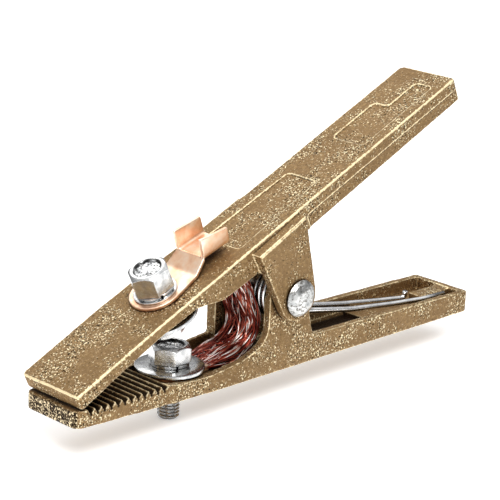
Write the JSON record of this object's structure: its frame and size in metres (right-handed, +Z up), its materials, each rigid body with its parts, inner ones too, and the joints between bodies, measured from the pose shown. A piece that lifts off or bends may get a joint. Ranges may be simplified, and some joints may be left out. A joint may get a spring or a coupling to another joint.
{
  "type": "welding ground clamp",
  "caption": "Sprung cast brass clamp with toothed jaws, a copper cable lug and a stranded copper shunt, for the return lead of a welding set.",
  "frame": {"origin": "on the flat underside of the lower casting, in the middle of its width, straight below the pivot rivet", "axes": "+X from the pivot towards the handle ends, -X towards the jaw tips, +Y along the rivet, +Z up, out of the flat underside"},
  "size_m": [0.2035, 0.0429, 0.1082],
  "materials": {
    "cast_brass": "sand-cast brass, matt and grainy",
    "zinc_steel": "bright zinc-plated steel",
    "rivet_steel": "bright plated steel, hammered head",
    "spring_steel": "drawn spring wire",
    "copper_sheet": "pressed copper sheet, bright and slightly tarnished",
    "copper_strand": "bare stranded copper wire, dark red-brown"
  },
  "bodies": {
    "lower_jaw": {"lower_casting": "cast_brass", "pivot_rivet": "rivet_steel", "rivet_washer": "zinc_steel", "pivot_sleeve": "zinc_steel", "torsion_spring": "spring_steel", "shunt_braid": "copper_strand", "shunt_ferrule_lower": "copper_sheet", "lower_washer": "zinc_steel", "lower_lock_washer": "zinc_steel", "lower_bolt": "zinc_steel"},
    "upper_jaw": {"upper_casting": "cast_brass", "cable_lug": "copper_sheet", "upper_bolt": "zinc_steel", "upper_lock_washer": "zinc_steel", "lug_washer": "zinc_steel", "clamp_washer": "zinc_steel", "nut_lock_washer": "zinc_steel", "clamp_nut": "zinc_steel", "shunt_ferrule_upper": "copper_sheet"}
  },
  "joints": [
    {"name": "jaw_hinge", "type": "hinge", "parent": "lower_jaw", "child": "upper_jaw", "pos_m": [0, 0, 0.0284], "axis": [0, 1, 0], "range_deg": [0, 44], "stiffness_Nm_per_rad": 5, "springref_deg": -51.57, "deforming": ["torsion_spring", "shunt_braid"]}
  ]
}
